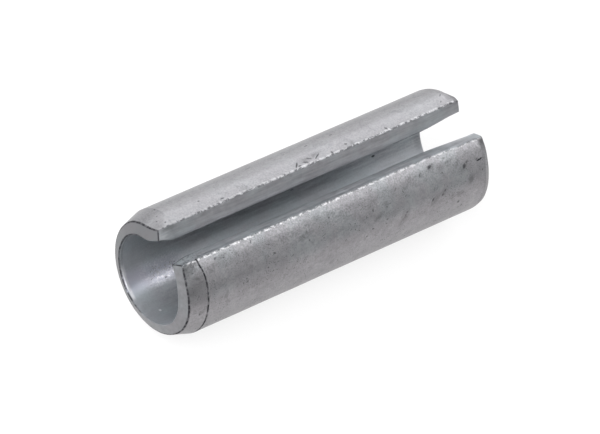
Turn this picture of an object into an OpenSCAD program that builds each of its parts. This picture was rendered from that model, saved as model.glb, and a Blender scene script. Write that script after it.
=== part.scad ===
// Slotted spring pin: one strip of spring steel rolled into a C, with both ends tapered for driving in.
// The pin lies along X with its open slot straight up (+Z). The origin is on the pin's own axis at mid-length,
// and the nosed front end points to -X. Sizes are in millimetres and show the pin free, before it is driven.

/* [Overall] */
// Free outside diameter, across the round of the body
free_d = 10.8; // [9:0.1:16]
// Length over both ends
pin_len = 31.8; // [20:0.1:100]
// Thickness of the strip
wall = 1.4; // [0.8:0.1:1.9]

/* [Slot and lips] */
// Narrowest width of the slot, between the lips' inner edges
throat_w = 1.65; // [1:0.05:3]
// Lean of each slot face away from the slot's centre plane, in degrees
face_lean = 45; // [20:1:50]
// Radius of each lip's rolled-over outer edge
lip_edge_r = 4; // [3.2:0.1:4.3]
// Angle from the slot's centre at which the outer edge starts to roll over, in degrees
roll_start = 40; // [34:1:42]

/* [Ends] */
// Length of the taper at the front end, where the pin is started in its hole
front_taper_len = 1.6; // [0.6:0.1:3]
// How far the taper brings the outside in at the front end
front_taper_depth = 0.5; // [0.1:0.05:0.6]
// Length of the shorter taper at the back end, where the pin is struck
back_taper_len = 0.8; // [0.4:0.1:3]
// How far the taper brings the outside in at the back end
back_taper_depth = 0.25; // [0.1:0.05:0.6]
// How far the front end's inner edge stands out past its outer edge
front_nose = 0.35; // [0:0.05:0.6]
// How far the squeeze that forms the taper presses in the bore's mouth
mouth_squeeze = 0.1; // [0:0.05:0.15]

/* [Hidden] */
$fn = 180;

zinc_grey = [0.66, 0.66, 0.68];

pin_r = free_d / 2;
bore_r = pin_r - wall;
front_taper_end = front_nose + front_taper_len;
back_taper_start = pin_len - back_taper_len;

// The section is drawn on the XY plane with the slot's centre line along +Y.
// Angles in it are measured from that line.
function at(r, deg) = r * [sin(deg), cos(deg)];

// The small turn where a rolled edge leaves the round body, which gives it a clean start
edge_turn = 3;
lip_edge_centre = at(pin_r, roll_start) - at(lip_edge_r, roll_start - edge_turn);

// Height of the lips' inner edges, and a reach that clears the pin on every side
throat_h = sqrt(bore_r ^ 2 - (throat_w / 2) ^ 2);
clear = 2 * pin_r;

// Round tube with tapered ends, standing on the front end. The front end face slopes back from the bore,
// the back end face is square, and the bore narrows a little under each taper.
module tapered_tube() {
    rotate_extrude()
        polygon([
            [bore_r - mouth_squeeze, 0],
            [pin_r - front_taper_depth, front_nose],
            [pin_r, front_taper_end],
            [pin_r, back_taper_start],
            [pin_r - back_taper_depth, pin_len],
            [bore_r - mouth_squeeze, pin_len],
            [bore_r, back_taper_start],
            [bore_r, front_taper_end]
        ]);
}

// Outline of the open slot: straight through the bore's mouth, then leaning out to both sides
module slot_gap() {
    flare = (clear - throat_h) * tan(face_lean);
    polygon([
        [-throat_w / 2, 0],
        [throat_w / 2, 0],
        [throat_w / 2, throat_h],
        [throat_w / 2 + flare, clear],
        [-throat_w / 2 - flare, clear],
        [-throat_w / 2, throat_h]
    ]);
}

// What the shearing of the strip rolls away from one lip's outer edge
module rolled_away() {
    difference() {
        polygon([[0, 0], at(clear, roll_start + edge_turn), at(clear, 0)]);
        translate(lip_edge_centre)
            circle(r = lip_edge_r);
    }
}

module spring_pin() {
    color(zinc_grey)
        translate([-pin_len / 2, 0, 0])
            rotate([90, 0, 90])
                difference() {
                    tapered_tube();
                    translate([0, 0, -clear])
                        linear_extrude(pin_len + 2 * clear) {
                            slot_gap();
                            rolled_away();
                            mirror([1, 0])
                                rolled_away();
                        }
                }
}

spring_pin();
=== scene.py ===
"""Looks of a slotted spring pin: a zinc-plated steel strip rolled into a C, with its slot straight up."""

import logging
import math
from dataclasses import dataclass, field
from enum import Enum
from typing import Any, Iterator, Sequence

import bpy
import numpy as np
from mathutils import Matrix, Vector

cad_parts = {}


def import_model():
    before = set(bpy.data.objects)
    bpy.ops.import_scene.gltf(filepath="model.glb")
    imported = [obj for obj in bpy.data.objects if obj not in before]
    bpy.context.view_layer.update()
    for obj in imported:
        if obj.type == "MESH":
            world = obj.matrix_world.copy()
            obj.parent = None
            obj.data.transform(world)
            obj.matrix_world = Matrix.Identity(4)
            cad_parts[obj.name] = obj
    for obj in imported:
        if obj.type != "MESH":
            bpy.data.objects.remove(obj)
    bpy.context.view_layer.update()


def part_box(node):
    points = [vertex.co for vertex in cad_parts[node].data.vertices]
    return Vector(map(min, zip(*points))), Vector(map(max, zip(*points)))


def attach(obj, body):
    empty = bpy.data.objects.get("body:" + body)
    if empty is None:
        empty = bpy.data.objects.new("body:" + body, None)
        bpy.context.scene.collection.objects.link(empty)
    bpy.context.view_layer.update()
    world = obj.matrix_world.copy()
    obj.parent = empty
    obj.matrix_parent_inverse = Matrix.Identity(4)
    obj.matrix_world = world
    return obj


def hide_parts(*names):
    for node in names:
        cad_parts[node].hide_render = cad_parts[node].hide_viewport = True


LOG = logging.getLogger("spring_pin")
MM = 0.001
TINY = 1e-9

# The mesh attribute that holds each point's place on the flat strip: along, across and height, in mm.
STRIP = "strip"

# Angles from the slot's centre over which a lip passes into the round wall, on the outside and in the bore.
LIP_FADE = (22.0, 40.0)
INNER_LIP_FADE = (12.0, 30.0)

Colour = tuple[float, float, float, float]
Triple = tuple[float, float, float]
Socket = bpy.types.NodeSocket


class Lip(Enum):
    """The two lips of the slot, named by the side of the pin that each is on."""

    PLUS_Y = 1.0
    MINUS_Y = -1.0


class End(Enum):
    """The two tapered ends of the pin."""

    FRONT = "front"
    BACK = "back"


def smooth(low: float, high: float, value: np.ndarray) -> np.ndarray:
    """Steps smoothly from 0 at low to 1 at high."""
    share = np.clip((value - low) / (high - low), 0.0, 1.0)
    return share * share * (3.0 - 2.0 * share)


def bell(value: np.ndarray, width: float) -> np.ndarray:
    """Falls from 1 at 0 to nearly nothing at twice the width, on both sides."""
    return np.exp(-((value / width) ** 2))


class Grain:
    """Seeded lattice noise, for what differs from place to place on real metal."""

    LAYER_SHIFT = (17.3, 5.9)
    LAYER_SUM = 1.6

    def __init__(self, seed: int, cells: int = 64) -> None:
        """Fills the lattice.

        Args:
            seed: Picks the pattern.
            cells: Cells along each side before the pattern repeats.
        """
        self.cells = cells
        self.table = np.random.default_rng(seed).uniform(-1.0, 1.0, (cells, cells))

    def at(self, across: np.ndarray, along: np.ndarray) -> np.ndarray:
        """Reads the noise.

        Args:
            across: First coordinate, in cells.
            along: Second coordinate, in cells.

        Returns:
            Values between -1 and 1, shaped as the coordinates are.
        """
        low_a, low_b = np.floor(across).astype(int), np.floor(along).astype(int)
        part_a, part_b = smooth(0.0, 1.0, across - low_a), smooth(0.0, 1.0, along - low_b)
        a0, a1 = low_a % self.cells, (low_a + 1) % self.cells
        b0, b1 = low_b % self.cells, (low_b + 1) % self.cells
        near = self.table[a0, b0] * (1.0 - part_b) + self.table[a0, b1] * part_b
        far = self.table[a1, b0] * (1.0 - part_b) + self.table[a1, b1] * part_b
        return near * (1.0 - part_a) + far * part_a

    def layered(self, across: np.ndarray, along: np.ndarray, layers: int = 3) -> np.ndarray:
        """Adds up finer and fainter layers of the noise.

        Args:
            across: First coordinate, in cells of the coarsest layer.
            along: Second coordinate, in the same cells.
            layers: How many layers.

        Returns:
            Values mostly between -1 and 1.
        """
        total = np.zeros(np.broadcast(across, along).shape)
        for layer in range(layers):
            scale = 2.0**layer
            shift_a, shift_b = (shift * layer for shift in self.LAYER_SHIFT)
            total = total + self.at(across * scale + shift_a, along * scale + shift_b) / scale
        return total / self.LAYER_SUM


class Rim:
    """How the radius of a rim changes round the pin, from the slot's centre to the underside."""

    STEP = 0.5
    BLUR = 3.0
    BLUR_REACH = 12

    def __init__(self, *knots: tuple[float, float]) -> None:
        """Lays a smooth curve along the knots.

        Args:
            knots: Angles from the slot's centre in degrees, each with its radius in millimetres.
        """
        self.degrees = np.arange(0.0, 180.0 + self.STEP, self.STEP)
        angles, radii = zip(*knots)
        straight = np.interp(self.degrees, angles, radii)
        steps = np.arange(-self.BLUR_REACH, self.BLUR_REACH + 1)
        weights = np.exp(-0.5 * (steps / self.BLUR) ** 2)
        padded = np.pad(straight, self.BLUR_REACH, mode="edge")
        self.radii = np.convolve(padded, weights / weights.sum(), mode="valid")

    def __call__(self, psi: np.ndarray) -> np.ndarray:
        """Reads the radius at angles from the slot's centre."""
        return np.interp(psi, self.degrees, self.radii)


@dataclass(frozen=True)
class Taper:
    """How the outside comes in towards one end, on the round wall and on the lip, in millimetres."""

    length: float
    lip_length: float
    power: float
    lip_power: float

    def share(self, to_end: np.ndarray, psi: np.ndarray) -> np.ndarray:
        """How far the outside has come in to its rim, from 0 on the body to 1 at the end.

        Args:
            to_end: Distances from the end.
            psi: Angles from the slot's centre.

        Returns:
            The shares.
        """
        on_lip = 1.0 - smooth(*LIP_FADE, psi)
        reach = self.length + (self.lip_length - self.length) * on_lip
        power = self.power + (self.lip_power - self.power) * on_lip
        return np.clip(1.0 - to_end / reach, 0.0, 1.0) ** power


@dataclass(frozen=True)
class LipEnd:
    """One side of one end of the pin: its rims, and where the slot's corners end up, in degrees."""

    outer: Rim
    inner: Rim
    outer_corner: float
    inner_corner: float
    corner_reach: float
    taper: Taper

    def ease(self, to_end: np.ndarray) -> np.ndarray:
        """How far the slot's corners have moved to where they end up."""
        return smooth(0.0, 1.0, 1.0 - to_end / self.corner_reach)


@dataclass(frozen=True)
class Mouth:
    """One end of the pin, as the swaging tool leaves it. Lengths are in millimetres, angles in degrees."""

    taper_len: float
    lips: dict[Lip, LipEnd]
    nose: float = 0.0
    bevel_len: float = 0.25
    bevel_depth: float = 0.0
    bevel_from: tuple[float, float] = (35.0, 60.0)
    bevel_to: tuple[float, float] = (150.0, 178.0)

    @classmethod
    def front(cls) -> "Mouth":
        """Makes the front end, with a long taper, a nose and a bevel inside the +Y half of its rim.

        Returns:
            The front mouth.
        """
        taper = Taper(length=1.95, lip_length=1.65, power=1.0, lip_power=0.9)
        plus = LipEnd(
            outer=Rim(
                (0, 5.9), (18, 5.22), (22, 5.0), (27, 4.78), (35, 4.66),
                (43, 4.68), (51, 4.77), (63, 4.87), (90, 4.88), (180, 4.93),
            ),
            inner=Rim(
                (0, 4.9), (12, 4.62), (20, 4.1), (29, 3.72), (39, 3.65),
                (60, 3.7), (75, 3.8), (110, 3.86), (150, 3.88), (180, 3.98),
            ),
            outer_corner=20.5,
            inner_corner=12.5,
            corner_reach=1.7,
            taper=taper,
        )
        minus = LipEnd(
            outer=Rim(
                (0, 5.5), (19, 5.35), (23, 5.08), (27, 4.92), (32, 4.82), (40, 4.77),
                (52, 4.78), (62, 4.84), (75, 4.93), (95, 4.95), (117, 4.9), (180, 4.93),
            ),
            inner=Rim(
                (0, 4.3), (14, 4.27), (21, 4.2), (29, 4.08), (37, 3.96), (47, 3.85),
                (60, 3.86), (79, 3.91), (105, 3.96), (130, 3.88), (180, 3.98),
            ),
            outer_corner=20.8,
            inner_corner=14.8,
            corner_reach=1.7,
            taper=taper,
        )
        lips = {Lip.PLUS_Y: plus, Lip.MINUS_Y: minus}
        return cls(taper_len=taper.length, lips=lips, nose=0.35, bevel_depth=0.12)

    @classmethod
    def back(cls) -> "Mouth":
        """Makes the back end, which is square and lightly tapered.

        Returns:
            The back mouth.
        """
        plus = LipEnd(
            outer=Rim(
                (0, 4.85), (19, 5.02), (24.5, 5.16), (32, 5.06), (40, 5.0),
                (50, 5.1), (62, 5.2), (75, 5.25), (180, 5.27),
            ),
            inner=Rim((0, 4.2), (15, 4.15), (28, 3.98), (45, 3.9), (80, 3.92), (180, 3.93)),
            outer_corner=20.4,
            inner_corner=15.4,
            corner_reach=4.6,
            taper=Taper(length=0.8, lip_length=1.5, power=1.7, lip_power=1.7),
        )
        minus = LipEnd(
            outer=Rim(
                (0, 5.1), (20, 4.98), (30, 4.96), (45, 4.91), (60, 4.95),
                (70, 5.02), (80, 5.1), (92, 5.2), (108, 5.27), (180, 5.27),
            ),
            inner=Rim((0, 4.2), (14, 4.12), (18, 4.08), (26, 4.0), (36, 3.92), (60, 3.9), (180, 3.93)),
            outer_corner=22.0,
            inner_corner=15.2,
            corner_reach=6.0,
            taper=Taper(length=0.7, lip_length=0.8, power=1.2, lip_power=1.2),
        )
        return cls(taper_len=0.8, lips={Lip.PLUS_Y: plus, Lip.MINUS_Y: minus})

    def inner_share(self, to_end: np.ndarray) -> np.ndarray:
        """How far the bore has come in to its rim."""
        return smooth(0.0, 1.0, 1.0 - to_end / self.taper_len)

    def bevel(self, to_end: np.ndarray, psi: np.ndarray, lip: Lip) -> np.ndarray:
        """How much the bevel inside the rim widens the bore. It fades out along the underside.

        Args:
            to_end: Distances from the end.
            psi: Angles from the slot's centre.
            lip: The lip on whose side they lie.

        Returns:
            The widening.
        """
        if lip is Lip.MINUS_Y:
            return np.zeros(np.shape(to_end))
        there = smooth(*self.bevel_from, psi) * (1.0 - smooth(*self.bevel_to, psi))
        return self.bevel_depth * there * np.clip(1.0 - to_end / self.bevel_len, 0.0, 1.0)


@dataclass(frozen=True)
class Wear:
    """How the strip strays from true, in millimetres: burred lips, chipped rims and uneven faces."""

    burr_size: float = 0.8
    burr_width: float = 0.14
    burr_depth: float = 0.16
    burr_swing: float = 0.03
    bite_size: float = 0.3
    bite_from: float = 0.1
    bite: float = 0.07
    sink: float = 0.05
    face_size: float = 2.4
    face_width: float = 0.25
    face_swing: float = 0.02
    lump_size: tuple[float, float] = (3.1, 2.6)
    lump: float = 0.01
    chip_size: float = 0.6
    chip_width: float = 0.1
    chip: float = 0.02
    seeds: tuple[int, int, int] = (11, 12, 13)

    def apply(self, point: Sequence[np.ndarray], size: Sequence[float]) -> tuple[np.ndarray, ...]:
        """Wears the flat strip. Each lip and each end reads its own row of the noise.

        Args:
            point: Signed distance from the strip's centre line, height over its inner face, and distance from
                the front end.
            size: Half the strip's width, its thickness and its length.

        Returns:
            The three coordinates, with the unevenness added.
        """
        across, height, along = point
        half_width, wall, length = size
        burr, torn, swell = (Grain(seed) for seed in self.seeds)
        side = np.where(across >= 0.0, 1.0, -1.0)
        to_lip = half_width - np.abs(across)
        share = height / wall
        ragged = burr.layered(along / self.burr_size, side * 9.0 + 20.0)
        bitten = torn.layered(along / self.bite_size, side * 5.0 + 40.0, layers=2)
        at_edge = bell(to_lip, self.burr_width) * bell((1.0 - share) * wall, self.burr_depth)
        swelling = swell.layered(along / self.face_size, share * 1.3 + side * 7.0 + 30.0)
        face = bell(to_lip, self.face_width) * self.face_swing * swelling
        burrs = self.burr_swing * ragged - self.bite * np.maximum(bitten - self.bite_from, 0.0)
        across = across + side * (at_edge * burrs + face)
        long, wide = self.lump_size
        lumps = self.lump * (1.0 + swell.layered(along / long, across / wide + 50.0))
        height = height - lumps * smooth(0.2, 1.0, share) - at_edge * self.sink * np.maximum(bitten, 0.0)
        in_front = along < length / 2.0
        to_end = np.where(in_front, along, length - along)
        chipped = self.chip * burr.layered(across / self.chip_size, np.where(in_front, 3.0, 33.0))
        along = along + np.where(in_front, 1.0, -1.0) * bell(to_end, self.chip_width) * chipped
        return across, height, np.clip(along, 0.0, length)


@dataclass
class RolledPin:
    """The pin's one piece: a strip with rounded edges, rolled into a C and tapered at both ends."""

    length: float
    free_r: float
    bore_r: float = 4.0
    lip_round: float = 0.10
    face_round: float = 0.07
    rim_round: float = 0.045
    roll_from: float = 40.0
    roll_r: float = 3.15
    outer_corner: float = 20.1
    inner_corner: float = 11.9
    half_columns: int = 60
    column_steps: tuple[float, float] = (0.085, 0.42)
    rows: int = 302
    taper_rows_per_mm: float = 8.0
    taper_row_ends: tuple[float, float] = (0.13, 0.06)
    crease_rows: Triple = (-0.02, 0.02, 0.06)
    wall_cuts: int = 8
    edge_cuts: tuple[float, ...] = (0.0, 0.2, 0.45, 0.72, 1.0)
    name: str = "zinc_plated_pin"
    wear: Wear = field(default_factory=Wear)
    ends: dict[End, Mouth] = field(default_factory=lambda: {End.FRONT: Mouth.front(), End.BACK: Mouth.back()})

    @property
    def wall(self) -> float:
        """The strip's thickness."""
        return self.free_r - self.bore_r

    @property
    def half_width(self) -> float:
        """Half the strip's width, from a lip's edge round to the underside."""
        return 0.5 * (self.free_r + self.bore_r) * math.radians(180.0 - self.outer_corner)

    def body_outside(self, psi: np.ndarray) -> np.ndarray:
        """Finds the outside between the ends, which falls where the lips' edges roll over.

        Args:
            psi: Angles from the slot's centre.

        Returns:
            The radii.
        """
        reach = self.free_r - self.roll_r
        along = reach * np.cos(np.radians(psi - self.roll_from))
        rolled = along + np.sqrt(np.maximum(along**2 - reach**2 + self.roll_r**2, 0.0))
        return np.where(psi < self.roll_from, rolled, self.free_r)

    def stations(self) -> np.ndarray:
        """Spaces the cuts across the strip, close together at edges and creases.

        Returns:
            Their distances from the front end.
        """
        rim = self.rim_round * np.array(self.edge_cuts)
        first, last = self.taper_row_ends
        sides = []
        for end in End:
            base = self.ends[end].taper_len
            taper = np.linspace(first, base - last, int(self.taper_rows_per_mm * base) + 1)
            sides.append(np.concatenate([rim, taper, base + np.array(self.crease_rows)]))
        near, far = sides
        middle = self.rows - len(near) - len(far)
        body = np.linspace(near[-1], self.length - far[-1], middle + 2)[1:-1]
        return np.concatenate([near, body, (self.length - far)[::-1]])

    def columns(self) -> np.ndarray:
        """Spaces the cuts along the strip, from a lip to the underside, close together at the lip.

        Returns:
            Their distances from the lip's edge.
        """
        edge = self.lip_round * np.array(self.edge_cuts)
        steps = np.cumsum(np.geomspace(*self.column_steps, self.half_columns - len(edge) + 1))
        return np.concatenate([edge, edge[-1] + steps * (self.half_width - edge[-1]) / steps[-1]])

    def depths(self) -> np.ndarray:
        """Spaces the cuts through the strip, from the bore's surface to the outside.

        Returns:
            Their heights over the bore's surface.
        """
        edge = self.face_round * np.array(self.edge_cuts)
        inner = np.linspace(edge[-1], self.wall - edge[-1], self.wall_cuts)[1:-1]
        return np.concatenate([edge, inner, (self.wall - edge)[::-1]])

    def corners(self, lip: Lip, to_end: dict[End, np.ndarray]) -> tuple[np.ndarray, np.ndarray]:
        """Finds a lip's corners along the pin.

        Args:
            lip: The lip.
            to_end: Distances from each end.

        Returns:
            Angles of its outer and its inner corner.
        """
        outer, inner = self.outer_corner, self.inner_corner
        for end, mouth in self.ends.items():
            shape = mouth.lips[lip]
            ease = shape.ease(to_end[end])
            outer = outer + ease * (shape.outer_corner - self.outer_corner)
            inner = inner + ease * (shape.inner_corner - self.inner_corner)
        return outer, inner

    def outer_radius(self, lip: Lip, to_end: dict[End, np.ndarray], psi: np.ndarray) -> np.ndarray:
        """Finds the outside on one lip's side.

        Args:
            lip: The lip.
            to_end: Distances from each end.
            psi: Angles from the slot's centre.

        Returns:
            The radii.
        """
        body = self.body_outside(psi)
        radius = body
        for end, mouth in self.ends.items():
            shape = mouth.lips[lip]
            radius = radius + shape.taper.share(to_end[end], psi) * (shape.outer(psi) - body)
        return radius

    def inner_radius(self, lip: Lip, to_end: dict[End, np.ndarray], psi: np.ndarray) -> np.ndarray:
        """Finds the bore's surface on one lip's side.

        Args:
            lip: The lip.
            to_end: Distances from each end.
            psi: Angles from the slot's centre.

        Returns:
            The radii.
        """
        at_lip = 1.0 - smooth(*INNER_LIP_FADE, psi)
        radius = self.bore_r
        for end, mouth in self.ends.items():
            shape = mouth.lips[lip]
            ease = mouth.inner_share(to_end[end])
            ease = ease + (shape.ease(to_end[end]) - ease) * at_lip
            radius = radius + ease * (shape.inner(psi) - self.bore_r) + mouth.bevel(to_end[end], psi, lip)
        return radius

    def rolled(self, across: np.ndarray, height: np.ndarray, along: np.ndarray) -> np.ndarray:
        """Rolls points of the flat strip into the pin.

        Args:
            across: Signed distance from the underside's centre line, positive towards the +Y lip.
            height: Distance out from the bore's surface.
            along: Distance from the front end.

        Returns:
            Points in the part's frame, in millimetres.
        """
        share = height / self.wall
        from_lip = 1.0 - np.abs(across) / self.half_width
        to_end = {End.FRONT: along, End.BACK: self.length - along}
        radius, angle = np.zeros(np.shape(across)), np.zeros(np.shape(across))
        for lip in Lip:
            outer_corner, inner_corner = self.corners(lip, to_end)
            corner = inner_corner + (outer_corner - inner_corner) * share
            psi = corner + (180.0 - corner) * from_lip
            outer_r = self.outer_radius(lip, to_end, outer_corner + (180.0 - outer_corner) * from_lip)
            inner_r = self.inner_radius(lip, to_end, inner_corner + (180.0 - inner_corner) * from_lip)
            here = np.where(across >= 0.0, 1.0, -1.0) == lip.value
            radius = np.where(here, inner_r + (outer_r - inner_r) * share, radius)
            angle = np.where(here, psi * lip.value, angle)
        front = self.ends[End.FRONT]
        pushed = front.nose * share * np.clip(1.0 - along / front.taper_len, 0.0, 1.0)
        x = along + pushed - self.length / 2.0
        turn = np.radians(angle)
        return np.stack([x, radius * np.sin(turn), radius * np.cos(turn)], axis=-1)

    def eased(self, across: np.ndarray, height: np.ndarray, along: np.ndarray) -> tuple[np.ndarray, ...]:
        """Rounds the flat strip's edges and corners.

        Args:
            across: Signed distance from the strip's centre line.
            height: Distance from the strip's inner face.
            along: Distance from the front end.

        Returns:
            The three coordinates, moved onto the rounded edges.
        """
        half = np.array([self.half_width, self.wall / 2.0, self.length / 2.0])
        sizes = np.array([self.lip_round, self.face_round, self.rim_round])
        point = np.stack([across, height - half[1], along - half[2]], axis=-1)
        core = np.clip(point, sizes - half, half - sizes)
        out = (point - core) / sizes
        reach = np.linalg.norm(out, axis=-1, keepdims=True)
        moved = np.where(reach > TINY, core + out / np.maximum(reach, TINY) * sizes, point)
        return moved[..., 0], moved[..., 1] + half[1], moved[..., 2] + half[2]

    @staticmethod
    def quads(counts: Sequence[int], fixed: int, end: int) -> Iterator[list[tuple[int, ...]]]:
        """Goes over the quads of one face of the strip.

        Args:
            counts: How many cuts the strip has along each of its axes.
            fixed: The axis that the face is square to.
            end: The face's own cut along that axis.

        Returns:
            Each quad's four points, each as its cuts along the three axes.
        """
        first, second = (axis for axis in range(3) if axis != fixed)
        for a in range(counts[first] - 1):
            for b in range(counts[second] - 1):
                quad = []
                for step_a, step_b in ((0, 0), (1, 0), (1, 1), (0, 1)):
                    place = [end, end, end]
                    place[first], place[second] = a + step_a, b + step_b
                    quad.append(tuple(place))
                yield quad

    def skin(self) -> tuple[np.ndarray, list[tuple[int, ...]]]:
        """Covers the flat strip's six faces with quads that share their points.

        Returns:
            The points, one row each of across, height and along, and each quad's four points by number.
        """
        from_middle = self.half_width - self.columns()
        cuts = (np.concatenate([from_middle, -from_middle[::-1][1:]]), self.depths(), self.stations())
        counts = [len(cut) for cut in cuts]
        index: dict[tuple[int, ...], int] = {}
        faces: list[tuple[int, ...]] = []
        for fixed, count in enumerate(counts):
            for end in (0, count - 1):
                turned = (end == 0) == (fixed == 1)
                for quad in self.quads(counts, fixed, end):
                    numbers = [index.setdefault(place, len(index)) for place in quad]
                    faces.append(tuple(numbers if turned else numbers[::-1]))
        points = np.array([[cut[i] for cut, i in zip(cuts, place)] for place in index])
        return points, faces

    def build(self) -> bpy.types.Object:
        """Makes the pin's mesh, with each point's place on the flat strip kept as an attribute.

        Returns:
            The pin, at the frame's origin.
        """
        points, faces = self.skin()
        across, height, along = self.eased(*points.T)
        worn = self.wear.apply((across, height, along), (self.half_width, self.wall, self.length))
        mesh = bpy.data.meshes.new(self.name)
        mesh.from_pydata((self.rolled(*worn) * MM).tolist(), [], faces)
        mesh.update()
        mesh.polygons.foreach_set("use_smooth", [True] * len(mesh.polygons))
        strip = mesh.attributes.new(STRIP, "FLOAT_VECTOR", "POINT")
        flat = np.stack([along, across, height], axis=-1).astype(np.float32)
        strip.data.foreach_set("vector", flat.ravel())
        pin = bpy.data.objects.new(self.name, mesh)
        bpy.context.scene.collection.objects.link(pin)
        return pin


class Value:
    """A number on a shader socket. Arithmetic on it adds the Math nodes that work it out."""

    def __init__(self, bench: "Bench", socket: Socket) -> None:
        """Wraps one output socket of the bench's node tree."""
        self.bench = bench
        self.socket = socket

    def maths(self, operation: str, *others: "Value | float", swapped: bool = False) -> "Value":
        """Adds a Math node.

        Args:
            operation: The Math node's operation.
            others: The other operands.
            swapped: True where this value is the second operand.

        Returns:
            The node's output.
        """
        operands: list[Value | float] = [*others, self] if swapped else [self, *others]
        made = self.bench.node("ShaderNodeMath", {"operation": operation}, dict(enumerate(operands)))
        return Value(self.bench, made.outputs[0])

    def __add__(self, other: "Value | float") -> "Value":
        """Adds."""
        return self.maths("ADD", other)

    __radd__ = __add__

    def __sub__(self, other: "Value | float") -> "Value":
        """Subtracts."""
        return self.maths("SUBTRACT", other)

    def __rsub__(self, other: "Value | float") -> "Value":
        """Subtracts this from the other."""
        return self.maths("SUBTRACT", other, swapped=True)

    def __mul__(self, other: "Value | float") -> "Value":
        """Multiplies."""
        return self.maths("MULTIPLY", other)

    __rmul__ = __mul__

    def __pow__(self, other: "Value | float") -> "Value":
        """Raises to a power."""
        return self.maths("POWER", other)

    def __rpow__(self, other: "Value | float") -> "Value":
        """Raises the other to this power."""
        return self.maths("POWER", other, swapped=True)

    def __abs__(self) -> "Value":
        """Drops the sign."""
        return self.maths("ABSOLUTE")

    def least(self, other: "Value | float") -> "Value":
        """Takes the smaller of the two."""
        return self.maths("MINIMUM", other)

    def most(self, *others: "Value") -> "Value":
        """Takes the largest.

        Args:
            others: What it is compared with.

        Returns:
            The largest.
        """
        largest = self
        for other in others:
            largest = largest.maths("MAXIMUM", other)
        return largest

    def step(self, low: float, high: float) -> "Value":
        """Steps smoothly from 0 at low to 1 at high, or down from 1 where low is the larger.

        Args:
            low: The value that gives 0.
            high: The value that gives 1.

        Returns:
            The stepped value.
        """
        # A smooth step stays within its ends, and the node's own clamp would cost the renderer another node.
        falls = low > high
        inputs = {
            "Value": self,
            "From Min": min(low, high),
            "From Max": max(low, high),
            "To Min": float(falls),
            "To Max": float(not falls),
        }
        settings = {"interpolation_type": "SMOOTHSTEP", "clamp": False}
        return Value(self.bench, self.bench.node("ShaderNodeMapRange", settings, inputs).outputs["Result"])

    def between(self, start: float, full: float, still: float, end: float) -> "Value":
        """Rises from 0 at start to 1 at full, and falls from 1 at still back to 0 at end.

        Args:
            start: Where the rise starts.
            full: Where it is complete.
            still: Where the fall starts.
            end: Where it is complete.

        Returns:
            The window.
        """
        return self.step(start, full) * self.step(end, still)


class Bench:
    """One material's node tree, and short ways to add nodes to it."""

    def __init__(self, name: str) -> None:
        """Makes the material and clears its nodes.

        Args:
            name: The material's name.
        """
        self.material = bpy.data.materials.new(name)
        self.material.use_nodes = True
        self.tree = self.material.node_tree
        self.tree.nodes.clear()

    def node(
        self, kind: str, settings: dict[str, Any] | None = None, inputs: dict[Any, Any] | None = None
    ) -> bpy.types.Node:
        """Adds a node.

        Args:
            kind: The node's type.
            settings: Its settings, which are set first.
            inputs: Its sockets' values or links, by name or number.

        Returns:
            The node.
        """
        made = self.tree.nodes.new(kind)
        for key, value in (settings or {}).items():
            setattr(made, key, value)
        for key, value in (inputs or {}).items():
            if isinstance(value, Value):
                value = value.socket
            if isinstance(value, Socket):
                self.tree.links.new(value, made.inputs[key])
            else:
                made.inputs[key].default_value = value
        return made

    def parts(self, vector: Socket) -> tuple[Value, Value, Value]:
        """Splits a vector into its three numbers."""
        split = self.node("ShaderNodeSeparateXYZ", {}, {0: vector})
        return Value(self, split.outputs[0]), Value(self, split.outputs[1]), Value(self, split.outputs[2])

    def joined(self, first: Value, second: Value) -> Socket:
        """Joins two numbers into a vector."""
        return self.node("ShaderNodeCombineXYZ", {}, {"X": first, "Y": second}).outputs[0]

    def vector(self, operation: str, *operands: Any, **named: Any) -> Socket:
        """Adds a Vector Math node that gives a vector.

        Args:
            operation: The node's operation.
            operands: Its vectors, in order.
            named: Its other sockets, by name.

        Returns:
            The node's vector.
        """
        inputs = {**dict(enumerate(operands)), **named}
        return self.node("ShaderNodeVectorMath", {"operation": operation}, inputs).outputs["Vector"]

    def measure(self, operation: str, *operands: Any) -> Value:
        """Adds a Vector Math node that gives a number.

        Args:
            operation: The node's operation.
            operands: Its vectors, in order.

        Returns:
            The node's number.
        """
        made = self.node("ShaderNodeVectorMath", {"operation": operation}, dict(enumerate(operands)))
        return Value(self, made.outputs["Value"])

    def noise(self, place: Socket, size_mm: float, detail: float = 2.0, rough: float = 0.5) -> Value:
        """Adds cloudy noise.

        Args:
            place: Coordinates in millimetres.
            size_mm: Size of its largest clouds.
            detail: Layers of finer noise.
            rough: Strength of the finer layers.

        Returns:
            Values around 0.5.
        """
        inputs = {"Vector": place, "Scale": 1.0 / size_mm, "Detail": detail, "Roughness": rough}
        return Value(self, self.node("ShaderNodeTexNoise", {}, inputs).outputs["Fac"])

    def mix(self, share: Value, first: Socket | Colour, second: Socket | Colour) -> Socket:
        """Blends two colours.

        Args:
            share: 0 for the first, 1 for the second.
            first: A colour or a colour socket.
            second: The same.

        Returns:
            The blend.
        """
        clamped = share.least(1.0).maths("MAXIMUM", 0.0)
        return self.node("ShaderNodeMix", {"data_type": "RGBA"}, {0: clamped, 6: first, 7: second}).outputs[2]

    def tint(self, share: Value, colour: Socket, by: Colour) -> Socket:
        """Multiplies a colour by another.

        Args:
            share: 0 to leave it as it is, 1 to multiply it fully.
            colour: The colour socket.
            by: The colour that tints it.

        Returns:
            The tinted colour.
        """
        settings = {"data_type": "RGBA", "blend_type": "MULTIPLY"}
        return self.node("ShaderNodeMix", settings, {0: share, 6: colour, 7: by}).outputs[2]


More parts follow.
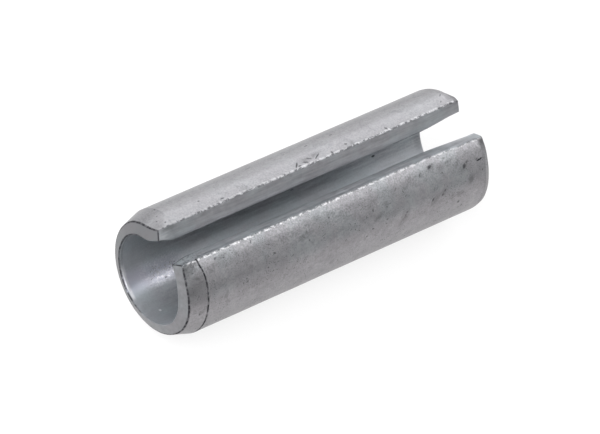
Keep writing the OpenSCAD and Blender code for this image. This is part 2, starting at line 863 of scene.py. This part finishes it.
@dataclass(frozen=True)
class Mark:
    """A pit, nick, scratch or stain, in millimetres and degrees.

    It lies at a distance from the front end and an angle from the slot's centre, positive on the +Y side. Its
    lean is measured from the pin's length.
    """

    along: float
    turn: float
    length: float
    width: float
    lean: float = 0.0
    depth: float = 0.6

    def axes(self, radius: float) -> tuple[Triple, Triple]:
        """Works out what measures a place against the mark.

        Args:
            radius: The outside's radius.

        Returns:
            Two vectors. Their dot products with (along, round, 1) are the place's distances from the mark's
            middle, along and across it, as shares of its length and width.
        """
        cos, sin = math.cos(math.radians(self.lean)), math.sin(math.radians(self.lean))
        middle = math.radians(self.turn) * radius
        ahead = -(cos * self.along + sin * middle)
        beside = sin * self.along - cos * middle
        lengthways = (cos / self.length, sin / self.length, ahead / self.length)
        sideways = (-sin / self.width, cos / self.width, beside / self.width)
        return lengthways, sideways


NICKS_BY_THE_BACK = (
    Mark(30.57, -39.9, 0.36, 0.09, 8.0, 1.0),
    Mark(30.30, -38.6, 0.14, 0.08),
    Mark(30.75, -50.2, 0.10, 0.08, 90.0),
    Mark(29.30, -37.2, 0.16, 0.08, 45.0),
    Mark(28.93, -40.2, 0.26, 0.19, 60.0, 0.7),
    Mark(25.60, -28.3, 0.27, 0.17, 20.0, 0.75),
    Mark(25.95, -26.9, 0.11, 0.06),
    Mark(24.40, -31.8, 0.25, 0.05, 50.0),
)

PITS = (
    Mark(28.26, -73.8, 0.14, 0.14),
    Mark(26.70, -54.4, 0.16, 0.08, 50.0),
    Mark(26.42, -57.8, 0.13, 0.09, 50.0),
    Mark(25.38, -58.7, 0.20, 0.10, 60.0),
    Mark(22.60, -59.4, 0.15, 0.10, 50.0, 0.5),
    Mark(22.45, -61.8, 0.12, 0.09, 40.0, 0.45),
    Mark(20.49, -57.6, 0.12, 0.09, 0.0, 0.5),
    Mark(20.39, -61.7, 0.10, 0.08, 0.0, 0.5),
    Mark(19.10, -43.6, 0.15, 0.10, 80.0),
    Mark(18.97, -61.0, 0.14, 0.08),
    Mark(18.35, -66.4, 0.09, 0.08),
    Mark(14.73, -33.5, 0.11, 0.09),
    Mark(12.40, -45.0, 0.10, 0.08),
    Mark(10.60, -52.0, 0.11, 0.06, 30.0),
    Mark(8.85, -42.9, 0.17, 0.10, -25.0),
    Mark(8.50, -33.8, 0.10, 0.06),
    Mark(8.05, -53.5, 0.09, 0.09),
    Mark(7.02, -25.2, 0.16, 0.08, 70.0),
    Mark(5.90, -57.8, 0.10, 0.08),
    Mark(4.10, -28.4, 0.11, 0.06),
    Mark(3.35, -26.0, 0.15, 0.11, 20.0),
    Mark(1.11, -25.4, 0.15, 0.09, 40.0),
    Mark(1.10, -74.0, 0.16, 0.06, 80.0),
    Mark(1.00, -54.0, 0.14, 0.06, 80.0),
    Mark(0.85, -31.0, 0.08, 0.08),
)

SCRATCHES = (
    Mark(14.85, 24.6, 0.36, 0.08, 46.0, 0.8),
    Mark(15.05, 22.6, 0.16, 0.07, -10.0, 0.75),
    Mark(15.75, 23.6, 0.30, 0.08, -25.0, 0.8),
    Mark(16.25, 26.0, 0.28, 0.06, -38.0, 0.75),
    Mark(17.00, 25.0, 0.40, 0.07, 30.0, 0.8),
)

UPPER_LIP_PITS = (
    Mark(30.81, 33.5, 0.21, 0.06, 40.0),
    Mark(30.30, 26.0, 0.14, 0.06, 40.0),
    Mark(24.17, 23.0, 0.23, 0.11, 110.0),
    Mark(20.00, 24.8, 0.15, 0.09),
    Mark(19.94, 44.6, 0.15, 0.10),
    Mark(18.41, 22.4, 0.14, 0.10, 80.0),
    Mark(17.25, 43.8, 0.20, 0.09, 10.0),
    Mark(15.00, 45.2, 0.11, 0.06),
    Mark(7.09, 23.7, 0.21, 0.08),
    Mark(5.20, 31.0, 0.10, 0.08),
    Mark(1.86, 47.3, 0.18, 0.08, 70.0),
    Mark(1.35, 38.0, 0.08, 0.06),
    Mark(1.30, 25.4, 0.11, 0.10),
    Mark(0.90, 33.0, 0.10, 0.09),
)

BORE_SPOTS = (
    Mark(26.69, 132.1, 0.20, 0.14, 0.0, 0.9),
    Mark(18.00, 130.0, 0.20, 0.10, 0.0, 0.4),
    Mark(5.20, 153.0, 0.12, 0.07),
    Mark(4.60, 158.0, 0.14, 0.10),
    Mark(3.90, 166.0, 0.10, 0.08),
    Mark(3.40, 150.0, 0.12, 0.08),
    Mark(2.60, 162.0, 0.10, 0.07),
)

STAINS = (
    Mark(29.50, -54.6, 0.50, 0.34, 70.0, 1.5),
    Mark(28.90, -40.5, 0.60, 0.34, 35.0, 1.0),
    Mark(28.20, -36.0, 0.55, 0.22, 35.0, 1.0),
    Mark(27.50, -30.0, 0.50, 0.15, 10.0, 1.0),
    Mark(26.60, -55.5, 0.50, 0.30, 40.0, 0.9),
    Mark(25.70, -29.0, 0.55, 0.30, 20.0, 1.0),
    Mark(25.60, -60.0, 0.70, 0.35, 40.0, 1.0),
    Mark(22.50, -59.8, 0.55, 0.32, 40.0, 0.8),
    Mark(22.30, -66.0, 0.80, 0.35, 45.0, 1.0),
    Mark(21.20, -55.0, 0.90, 0.30, 10.0, 0.5),
    Mark(19.60, -52.0, 0.70, 0.25, 30.0, 1.0),
    Mark(16.30, 27.5, 1.60, 0.35, 5.0, 1.0),
    Mark(12.00, -40.0, 1.10, 0.30, 10.0, 1.0),
    Mark(3.90, -27.0, 0.80, 0.22, 10.0, 1.0),
)


class Skin:
    """Where things lie on the pin's surface, and the patterns that its finish is drawn with.

    Distances are in millimetres, and angles in degrees from the slot's centre, positive towards the +Y lip.
    Places and patterns are numbers from 0 to 1, but for the wobble, which is a small distance.
    """

    def __init__(self, bench: Bench, pin: RolledPin) -> None:
        """Measures the surface.

        Args:
            bench: The material's bench.
            pin: The pin.
        """
        self.bench = bench
        self.pin = pin
        strip = bench.node("ShaderNodeAttribute", {"attribute_name": STRIP}).outputs["Vector"]
        self.along, across, self.height = bench.parts(strip)
        self.where = bench.vector("SCALE", bench.node("ShaderNodeTexCoord").outputs["Object"], Scale=1.0 / MM)
        _, side, up = bench.parts(self.where)
        self.turn = side.maths("ARCTAN2", up) * math.degrees(1.0)
        self.to_back = pin.length - self.along
        self.to_lip = pin.half_width - abs(across)
        self.to_out = pin.wall - self.height
        self.plus_side = side.step(-0.3, 0.3)
        self.minus_side = 1.0 - self.plus_side
        self.find_places()
        self.draw_patterns()

    def find_places(self) -> None:
        """Marks out the faces, and the parts of them that differ."""
        self.outside = self.to_out.step(0.12, 0.03)
        self.outermost = self.to_out.step(0.06, 0.01)
        self.bore = self.height.step(0.12, 0.03)
        self.slot_face = self.to_lip.step(0.10, 0.02)
        self.near_face = self.slot_face * self.minus_side
        self.front_face = self.along.step(0.06, 0.01)
        self.beside_slot = self.to_lip.step(2.4, 0.7) * self.outside * self.minus_side
        self.underside = self.turn.step(-50.0, -66.0) * self.outside
        self.bore_foot = self.turn.between(133.0, 153.0, 161.0, 178.0)
        self.mouth_foot = self.turn.between(125.0, 145.0, 172.0, 179.0)
        drawn_bore = self.bore * (1.0 - 0.7 * self.bore_foot) * self.along.step(1.0, 8.0)
        self.drawn = drawn_bore.most(self.slot_face)
        # Painted light: the bore's foot just inside the mouth, and a band of it deeper in.
        self.painted_light_foot = self.bore * self.bore_foot * self.along.between(0.8, 3.4, 4.0, 7.0)
        self.deep_foot = self.bore * self.bore_foot * self.turn.step(136.0, 147.0) * self.along.step(4.5, 8.0)

    def draw_patterns(self) -> None:
        """Draws the noises that the finish's parts share."""
        noise, where = self.bench.noise, self.where
        self.cloud = noise(where, size_mm=2.6, detail=3.0)
        self.mottle = noise(where, size_mm=0.55, detail=4.0, rough=0.6)
        self.speck = noise(where, size_mm=0.16, rough=0.6)
        self.flecks = noise(where, size_mm=0.15, rough=0.7)
        self.gaps = noise(where, size_mm=0.34, detail=3.0, rough=0.75)
        self.broken = noise(where, size_mm=0.42, detail=3.0, rough=0.6).step(0.36, 0.56)
        self.wobble = (noise(where, size_mm=0.30, rough=0.6) - 0.5) * 0.12
        stretched = self.bench.vector("MULTIPLY", where, (0.09, 1.0, 1.0))
        self.streak = noise(stretched, size_mm=0.22, detail=3.0, rough=0.6)

    def from_edge(self, first: Value, second: Value, wobble: float = 1.0) -> Value:
        """Measures from an edge of the strip, unevenly.

        Args:
            first: Distance from one of the faces that meet there.
            second: Distance from the other.
            wobble: How uneven the distance is.

        Returns:
            The distance.
        """
        return (first**2.0 + second**2.0) ** 0.5 + self.wobble * (0.4 * wobble)

    def marks(self, places: Sequence[Mark], full: float, gone: float) -> Value:
        """Draws marks with shaky outlines.

        Args:
            places: The marks.
            full: How far out each mark keeps its full strength, as a share of its size.
            gone: Where it ends, in the same way.

        Returns:
            The marks' strength.
        """
        bench, radius = self.bench, self.pin.free_r
        flat = bench.joined(self.along, self.turn * (math.radians(1.0) * radius))
        shaken = bench.node("ShaderNodeTexNoise", {}, {"Vector": flat, "Scale": 6.0, "Detail": 2.0})
        shift = bench.vector("MULTIPLY_ADD", shaken.outputs["Color"], (0.14, 0.14, 0.0), (-0.07, -0.07, 1.0))
        spot = bench.vector("ADD", flat, shift)
        # Each mark is added to the total at once, because the renderer has room for few waiting values.
        deepest: Value | None = None
        for mark in places:
            far_along, far_across = (bench.measure("DOT_PRODUCT", spot, axis) for axis in mark.axes(radius))
            mask = bench.measure("LENGTH", bench.joined(far_along, far_across)).step(gone, full) * mark.depth
            deepest = mask if deepest is None else deepest.most(mask)
        return deepest


@dataclass(frozen=True)
class ZincPlating:
    """Satin zinc plating: dark in its creases, pitted here and there, and bright along its burrs, with
    painted light and shade on its faces and in its bore.
    """

    pin: RolledPin
    dark: Colour = (0.197, 0.195, 0.205, 1.0)
    light: Colour = (0.472, 0.468, 0.490, 1.0)
    # The dark colour of pits, scratches and crease lines, some of which are painted shade.
    pits_and_painted_shade: Colour = (0.025, 0.025, 0.030, 1.0)
    # Bright burr metal, also used for painted highlights: the glint, the sparkle and the flecks in the bore's
    # painted light.
    burr: Colour = (0.80, 0.80, 0.82, 1.0)
    cool: Colour = (0.955, 1.00, 1.02, 1.0)
    warm: Colour = (1.022, 1.00, 0.995, 1.0)
    # The violet tint goes on the painted light at the bore's foot and on the painted glint.
    violet: Colour = (1.02, 0.985, 1.06, 1.0)
    olive: Colour = (0.962, 1.00, 0.995, 1.0)
    metallic: float = 0.9
    bore_metallic: float = 0.7
    roughness: float = 0.42
    bore_roughness: float = 0.5
    relief_mm: float = 0.02
    relief_strength: float = 0.8
    crease_depth: float = 0.8
    pit_depth: float = 0.7
    fleck_height: float = 1.2
    stain: float = 0.45
    scuff: float = 0.25
    darkest: float = 0.95

    @property
    def taper_len(self) -> float:
        """Length of the front taper, whose foot has a dark ring."""
        return self.pin.ends[End.FRONT].taper_len

    def make(self) -> bpy.types.Material:
        """Builds the material.

        Returns:
            The material.
        """
        bench = Bench("satin_zinc")
        skin = Skin(bench, self.pin)
        dots = self.dots(skin)
        creases = self.creases(skin)
        sparkle = self.sparkle(skin)
        glint = self.glint(skin)
        dark = dots.most(creases)
        # Painted highlights: flecks on the bore's painted light, the glint, the sparkle and part of the torn
        # edge.
        painted_flecks = skin.painted_light_foot * skin.flecks.step(0.50, 0.60) * 0.6
        bright = self.torn_edge(skin).most(sparkle, glint, self.chip(skin), painted_flecks)
        polish_and_painted_light = self.polish_and_painted_light(skin)
        # Besides the plating's own grain, stains and scuffs, the tone holds painted light and shade on the
        # outside, the slot's faces and the bore.
        tone = 0.5 + self.grain(skin) + self.outside_tone(skin) + self.slot_tone(skin)
        tone = tone + self.bore_tone(skin, polish_and_painted_light)
        colour = self.tinted(skin, bench.mix(tone, self.dark, self.light), glint)
        colour = bench.mix(bright, colour, self.burr)
        colour = bench.mix(dark * self.darkest, colour, self.pits_and_painted_shade)
        metallic = self.metallic + skin.bore * (self.bore_metallic - self.metallic) - skin.deep_foot * 0.35
        rough = self.roughness + skin.bore * (self.bore_roughness - self.roughness)
        rough = rough - (polish_and_painted_light - skin.deep_foot * 0.8) * 0.15 + (skin.mottle - 0.5) * 0.2
        rough = rough - bright * 0.1 + dark * 0.25
        relief = self.texture(skin) - creases * self.crease_depth + sparkle * self.fleck_height
        relief = relief - dots * self.pit_depth
        bump = bench.node(
            "ShaderNodeBump",
            {},
            {"Height": relief, "Distance": self.relief_mm * MM, "Strength": self.relief_strength},
        )
        inputs = {"Base Color": colour, "Metallic": metallic, "Roughness": rough, "Normal": bump.outputs[0]}
        shader = bench.node("ShaderNodeBsdfPrincipled", {}, inputs)
        bench.node("ShaderNodeOutputMaterial", {}, {"Surface": shader.outputs[0]})
        return bench.material

    @staticmethod
    def texture(skin: Skin) -> Value:
        """How high the plating's own texture stands: mottled, specked outside and lined where drawn."""
        mottled = (skin.mottle - 0.5) * 0.5 + (skin.speck - 0.5) * 0.4 * skin.outside
        return mottled + (skin.streak - 0.5) * 0.45 * skin.drawn

    def dots(self, skin: Skin) -> Value:
        """Draws the dark pits, nicks and scratches, with fine pepper on the -Y side.

        Args:
            skin: The pin's surface.

        Returns:
            Their strength.
        """
        marks = skin.marks((*NICKS_BY_THE_BACK, *PITS, *SCRATCHES, *UPPER_LIP_PITS, *BORE_SPOTS), 0.45, 1.25)
        lower_half = abs(skin.turn).step(100.0, 110.0)
        peppered = skin.bench.noise(skin.where, size_mm=1.7).step(0.40, 0.60) * skin.turn.step(11.5, -25.8)
        pepper = skin.speck.step(0.57, 0.66) * peppered * skin.outside
        nose_face = skin.near_face * skin.along.step(4.0, 1.5) * skin.height.step(0.05, 0.3)
        marks = marks * (skin.outside * (1.0 - lower_half) + skin.bore * lower_half)
        return marks.most(pepper * 0.55, skin.speck.step(0.54, 0.62) * nose_face * 0.5)

    def creases(self, skin: Skin) -> Value:
        """Draws the dark lines at the rims, the taper's foot and the slot's edges. The outline at the back
        rim and the lines along the slot's inner edges are painted shade.

        Args:
            skin: The pin's surface.

        Returns:
            Their strength.
        """
        on_lip = 1.0 - abs(skin.turn).step(*LIP_FADE)
        foot = self.taper_len - 0.05 - 0.2 * on_lip
        ring = abs(skin.along - foot + skin.wobble * 0.6).step(0.13, 0.04) * skin.outside
        ring = ring * (0.35 + 0.4 * on_lip + 0.65 * skin.broken) * (1.0 - 0.9 * skin.plus_side)
        rim = skin.from_edge(skin.along, skin.to_out).step(0.17, 0.07) * (0.4 + 0.6 * skin.broken)
        # Painted shade: a dark outline along the back rim.
        back_rim = skin.from_edge(skin.to_back, skin.to_out).step(0.16, 0.05) * (0.45 + 0.45 * skin.broken)
        seam = skin.from_edge(skin.along, skin.to_lip, wobble=0.5).step(0.13, 0.05)
        seam = seam * (0.5 + 0.45 * skin.broken)
        edge = skin.from_edge(skin.to_lip, skin.height)
        # Painted shade along the slot's inner edges.
        under_nose = edge.step(0.30, 0.12) * skin.along.step(2.6, 1.6) * skin.minus_side * 0.8
        under_back = edge.step(0.12, 0.04) * skin.along.step(23.5, 25.0) * skin.plus_side * skin.broken * 0.7
        nicks = skin.from_edge(skin.to_lip, skin.to_out).step(0.12, 0.05) * skin.gaps.step(0.53, 0.45)
        nicks = nicks * (0.3 + 0.35 * skin.plus_side) * 0.8
        return ring.most(rim, self.mouth_line(skin), seam, under_nose, back_rim, under_back, nicks)

    def mouth_line(self, skin: Skin) -> Value:
        """Draws the broken dark line round the front mouth, which is faint beside the -Y lip.

        Args:
            skin: The pin's surface.

        Returns:
            Its strength.
        """
        strong = skin.turn.step(35.0, 55.0).most(skin.turn.step(-160.0, -172.0))
        line = (skin.from_edge(skin.along, skin.height) - 0.03 * skin.mouth_foot).step(0.17, 0.05)
        return line * (0.15 + 0.85 * strong) * (0.5 + 0.45 * skin.broken)

    def torn_edge(self, skin: Skin) -> Value:
        """Draws the bright burrs along the slot's upper edges, partly burr metal and partly a painted
        highlight.

        Args:
            skin: The pin's surface.

        Returns:
            Their strength.
        """
        line = abs(skin.to_lip - 0.09 + skin.wobble).step(0.12, 0.03) * skin.gaps.step(0.44, 0.60)
        near_lip = 0.8 * skin.minus_side * self.edge_highlight_share(skin)
        far_lip = skin.plus_side * (0.15 + 0.3 * skin.along.step(3.0, 14.0))
        return line * (near_lip + far_lip) * skin.outside * skin.outermost

    def sparkle(self, skin: Skin) -> Value:
        """Draws the painted highlight flecks beside the burrs, which also stand up in the relief.

        Args:
            skin: The pin's surface.

        Returns:
            Their strength.
        """
        band = skin.to_lip.step(0.45, 0.12) * skin.outermost * (1.0 - 0.8 * skin.plus_side)
        return band * skin.flecks.step(0.56, 0.68) * 0.45 * self.edge_highlight_share(skin)

    @staticmethod
    def edge_highlight_share(skin: Skin) -> Value:
        """How bright the burr and the painted highlight along the slot's edge are, which is most in the front
        half.
        """
        return 0.6 + 0.4 * skin.along.step(25.0, 14.0)

    @staticmethod
    def glint(skin: Skin) -> Value:
        """A painted highlight on the bevel inside the mouth's foot."""
        line = abs(skin.along - 0.28 + skin.wobble).step(0.26, 0.06)
        return line * skin.height.step(0.3, 0.1) * skin.mouth_foot * 0.55

    @staticmethod
    def chip(skin: Skin) -> Value:
        """The small pale chip in the bore, near the front."""
        spot = abs(skin.along - 1.59).step(0.15, 0.05) * abs(skin.turn + 158.0).step(2.3, 0.7)
        return spot * skin.bore * 0.8

    @staticmethod
    def polish_and_painted_light(skin: Skin) -> Value:
        """How polished the bore's foot is, which also sets the painted light on it."""
        polished = skin.bore * skin.bore_foot * (0.8 - 0.35 * skin.along.step(4.5, 8.0))
        return polished + skin.deep_foot * 0.3 + skin.painted_light_foot * 0.5

    def grain(self, skin: Skin) -> Value:
        """Draws the plating's clouds and specks, and its drawing lines in the bore and on the slot's faces.

        Args:
            skin: The pin's surface.

        Returns:
            The change of tone.
        """
        nose = skin.along.step(self.taper_len, self.taper_len - 0.2) * skin.outside
        clouds = (skin.cloud - 0.5) * 0.35
        clouds = clouds + (skin.mottle - 0.5) * (0.7 - 0.25 * skin.bore - 0.2 * skin.plus_side)
        specked = 0.75 * skin.outside + 0.45 * skin.bore + skin.painted_light_foot * 1.6 + skin.beside_slot * 0.7
        lined = 0.25 * skin.bore + (1.05 - 0.2 * skin.plus_side) * skin.drawn
        return clouds * (1.0 - 0.5 * nose) + (skin.speck - 0.5) * specked + (skin.streak - 0.5) * lined

    def outside_tone(self, skin: Skin) -> Value:
        """Sets how light the outside and the front face are: their stains and scuffs, and painted shade on
        the front face, the back end, the underside, beside the slot and on the -Y taper's corner, with
        painted light and shade in bands on the +Y side.

        Args:
            skin: The pin's surface.

        Returns:
            The change of tone.
        """
        stains = skin.marks(STAINS, 0.1, 1.4) * skin.mottle.step(0.3, 0.6)
        scuffs = skin.bench.noise(skin.where, size_mm=1.3, detail=6.0, rough=0.75).step(0.56, 0.66)
        # Painted shade on the back end, painted light and shade in two bands of the +Y side, and painted
        # shade on the -Y taper's corner, the underside and the front face.
        back_end = skin.to_back.step(0.95, 0.6) * 0.27 + skin.to_back.step(0.4, 0.25) * 0.35
        bend = skin.turn.between(27.0, 33.0, 39.0, 43.0) * 0.14
        flank = skin.turn.between(42.0, 50.0, 80.0, 100.0) * 0.2
        nose_corner = skin.along.between(0.6, 1.2, 1.65, 1.8) * skin.turn.step(-40.0, -34.0) * skin.minus_side
        shade = skin.plus_side * (bend - flank) - stains * self.stain - scuffs * self.scuff - back_end
        shade = shade - nose_corner * 0.35 - skin.turn.step(-80.0, -92.0) * 0.1
        shade = shade * skin.outside - skin.underside * 0.17 - skin.beside_slot * 0.08
        return shade - skin.front_face * (0.34 + 0.27 * skin.plus_side)

    def slot_tone(self, skin: Skin) -> Value:
        """Paints light and shade on the slot's faces. They are lighter at the bore and darker outwards, the
        +Y one darker towards its front, and the -Y one lighter away from the back and darker just below its
        outer edge in front.

        Args:
            skin: The pin's surface.

        Returns:
            The change of tone.
        """
        far_front = skin.plus_side * skin.along.step(2.6, 1.2)
        shade = skin.slot_face * (0.3 - skin.height * 0.32 - far_front * 0.25)
        shade = shade + skin.near_face * skin.along.step(26.0, 20.0) * 0.15
        return shade - skin.near_face * skin.height.step(0.75, 1.2) * skin.along.step(28.0, 18.0) * 0.4

    def bore_tone(self, skin: Skin, polish_and_painted_light: Value) -> Value:
        """Sets how light the bore is, with painted light on its polished foot and at its mouth, and painted
        shade just inside the rim.

        Args:
            skin: The pin's surface.
            polish_and_painted_light: How polished the bore is, and how much painted light that gives it.

        Returns:
            The change of tone.
        """
        mouth = skin.bore * skin.along.step(3.0, 0.5)
        inside_rim = skin.along.step(0.36, 0.28) * skin.height.step(0.3, 0.12) * (1.0 - skin.front_face)
        inside_rim = inside_rim * skin.turn.between(25.0, 45.0, 140.0, 158.0)
        return polish_and_painted_light * 0.6 + mouth * 0.25 - inside_rim * 0.6

    def tinted(self, skin: Skin, colour: Socket, glint: Value) -> Socket:
        """Tints the plating, which is cooler in the bore, warmer below and violet where light is painted at
        the bore's foot and on the glint.

        Args:
            skin: The pin's surface.
            colour: The plating's colour.
            glint: The painted highlight on the bevel inside the mouth.

        Returns:
            The tinted colour.
        """
        tint = skin.bench.tint
        far_lip = skin.plus_side * skin.outside
        clouded = skin.cloud.step(0.42, 0.6) * (1.0 - skin.underside) * (1.0 - 0.7 * far_lip)
        mouth_foot = (skin.bore * skin.bore_foot * skin.along.step(7.0, 4.0)).most(glint)
        colour = tint(skin.bore.most(skin.slot_face * (0.8 - 0.5 * skin.plus_side)), colour, self.cool)
        colour = tint(skin.underside, colour, self.warm)
        colour = tint(clouded, colour, self.olive)
        return tint(mouth_foot, colour, self.violet)


@dataclass(frozen=True)
class Floor:
    """A plain white floor that stays white to the eye and keeps the pin's soft shadow, in metres."""

    height: float
    width: float = 3.0
    glow: float = 0.8
    matt: Colour = (0.9, 0.9, 0.9, 1.0)

    def build(self) -> bpy.types.Object:
        """Makes the floor.

        Returns:
            The floor.
        """
        half = self.width / 2.0
        sides = ((-half, -half), (half, -half), (half, half), (-half, half))
        corners = [(x, y, self.height) for x, y in sides]
        mesh = bpy.data.meshes.new("floor")
        mesh.from_pydata(corners, [], [(0, 1, 2, 3)])
        floor = bpy.data.objects.new("floor", mesh)
        bpy.context.scene.collection.objects.link(floor)
        floor.data.materials.append(self.paper())
        return floor

    def paper(self) -> bpy.types.Material:
        """Builds the floor's material, which glows to the eye and in reflections, and is matt to light.

        Returns:
            The material.
        """
        bench = Bench("white_paper")
        path = bench.node("ShaderNodeLightPath")
        seen = Value(bench, path.outputs["Is Camera Ray"])
        for ray in ("Is Glossy Ray", "Is Transmission Ray"):
            seen = seen + Value(bench, path.outputs[ray])
        matt = bench.node("ShaderNodeBsdfDiffuse", {}, {"Color": self.matt})
        white = bench.node("ShaderNodeEmission", {}, {"Color": (1.0, 1.0, 1.0, 1.0), "Strength": 1.0})
        inputs = {0: seen.least(1.0) * self.glow, 1: matt.outputs[0], 2: white.outputs[0]}
        both = bench.node("ShaderNodeMixShader", {}, inputs)
        bench.node("ShaderNodeOutputMaterial", {}, {"Surface": both.outputs[0]})
        return bench.material


@dataclass(frozen=True)
class Lamp:
    """A square soft lamp that faces the pin. Lengths are in metres, angles in degrees."""

    name: str
    azimuth: float
    elevation: float
    size: float
    watts: float
    distance: float = 0.8

    def build(self) -> bpy.types.Object:
        """Makes the lamp.

        Returns:
            The lamp.
        """
        light = bpy.data.lights.new(self.name, "AREA")
        light.shape = "SQUARE"
        light.size = self.size
        light.energy = self.watts
        lamp = bpy.data.objects.new(self.name, light)
        turn, rise = math.radians(self.azimuth), math.radians(self.elevation)
        way = Vector((math.cos(turn) * math.cos(rise), math.sin(turn) * math.cos(rise), math.sin(rise)))
        lamp.location = way * self.distance
        lamp.rotation_euler = way.to_track_quat("Z", "Y").to_euler()
        bpy.context.scene.collection.objects.link(lamp)
        return lamp


@dataclass(frozen=True)
class View:
    """The camera: its place, the point it looks at, its roll in degrees and its lens, in millimetres."""

    place: Triple = (-231.474, -124.324, 348.317)
    target: Triple = (-0.280, -0.220, -0.264)
    roll: float = -32.417
    lens: float = 319.78
    sensor: float = 36.0
    clip: tuple[float, float] = (10.0, 10000.0)

    def build(self) -> bpy.types.Object:
        """Makes the camera and hands it to the scene.

        Returns:
            The camera.
        """
        data = bpy.data.cameras.new("camera")
        data.sensor_width = self.sensor
        data.lens = self.lens
        data.clip_start, data.clip_end = (distance * MM for distance in self.clip)
        camera = bpy.data.objects.new("camera", data)
        place = Vector(self.place) * MM
        ahead = (Vector(self.target) * MM - place).normalized()
        level_right = ahead.cross(Vector((0.0, 0.0, 1.0))).normalized()
        level_up = level_right.cross(ahead)
        roll = math.radians(self.roll)
        up = level_up * math.cos(roll) + level_right * math.sin(roll)
        turned = Matrix((ahead.cross(up), up, -ahead)).transposed().to_4x4()
        camera.matrix_world = Matrix.Translation(place) @ turned
        bpy.context.scene.collection.objects.link(camera)
        bpy.context.scene.camera = camera
        return camera


@dataclass
class Studio:
    """The floor, the lamps, the surrounding light and the camera."""

    floor_height: float
    surround: float = 0.0
    lamps: tuple[Lamp, ...] = (
        Lamp("front_key", azimuth=180.0, elevation=45.0, size=0.55, watts=8.0),
        Lamp("near_fill", azimuth=-120.0, elevation=66.0, size=0.55, watts=2.4),
        Lamp("far_side", azimuth=62.0, elevation=34.0, size=0.80, watts=3.2),
        Lamp("far_front", azimuth=120.0, elevation=35.0, size=0.60, watts=2.7),
        Lamp("back_side", azimuth=30.0, elevation=12.0, size=0.50, watts=1.0),
        Lamp("slot_light", azimuth=0.0, elevation=45.0, size=0.45, watts=1.1),
        Lamp("back_low", azimuth=-30.0, elevation=24.0, size=0.45, watts=0.9),
        Lamp("near_low", azimuth=-60.0, elevation=24.0, size=0.38, watts=0.25),
        Lamp("bore_light", azimuth=-10.0, elevation=57.0, size=0.30, watts=0.6),
    )

    def build(self) -> None:
        """Sets the studio up."""
        scene = bpy.context.scene
        scene.view_settings.view_transform = "Standard"
        # Only the lamps and the floor light the pin, unless the surround is given some strength.
        world = bpy.data.worlds.new("surround")
        world.use_nodes = True
        background = world.node_tree.nodes["Background"]
        background.inputs["Color"].default_value = (1.0, 1.0, 1.0, 1.0)
        background.inputs["Strength"].default_value = self.surround
        scene.world = world
        Floor(self.floor_height).build()
        for lamp in self.lamps:
            lamp.build()
        View().build()


def main() -> None:
    """Builds the pin and its studio on the frame."""
    logging.basicConfig(level=logging.INFO, format="%(name)s: %(message)s")
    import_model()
    low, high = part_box("spring_pin")
    pin = RolledPin(length=(high.x - low.x) / MM, free_r=(high.y - low.y) / 2.0 / MM)
    piece = pin.build()
    piece.data.materials.append(ZincPlating(pin).make())
    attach(piece, "root")
    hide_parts("spring_pin")
    LOG.info("%s: %d faces", piece.name, len(piece.data.polygons))
    Studio(floor_height=low.z).build()


if __name__ == "__main__":
    main()
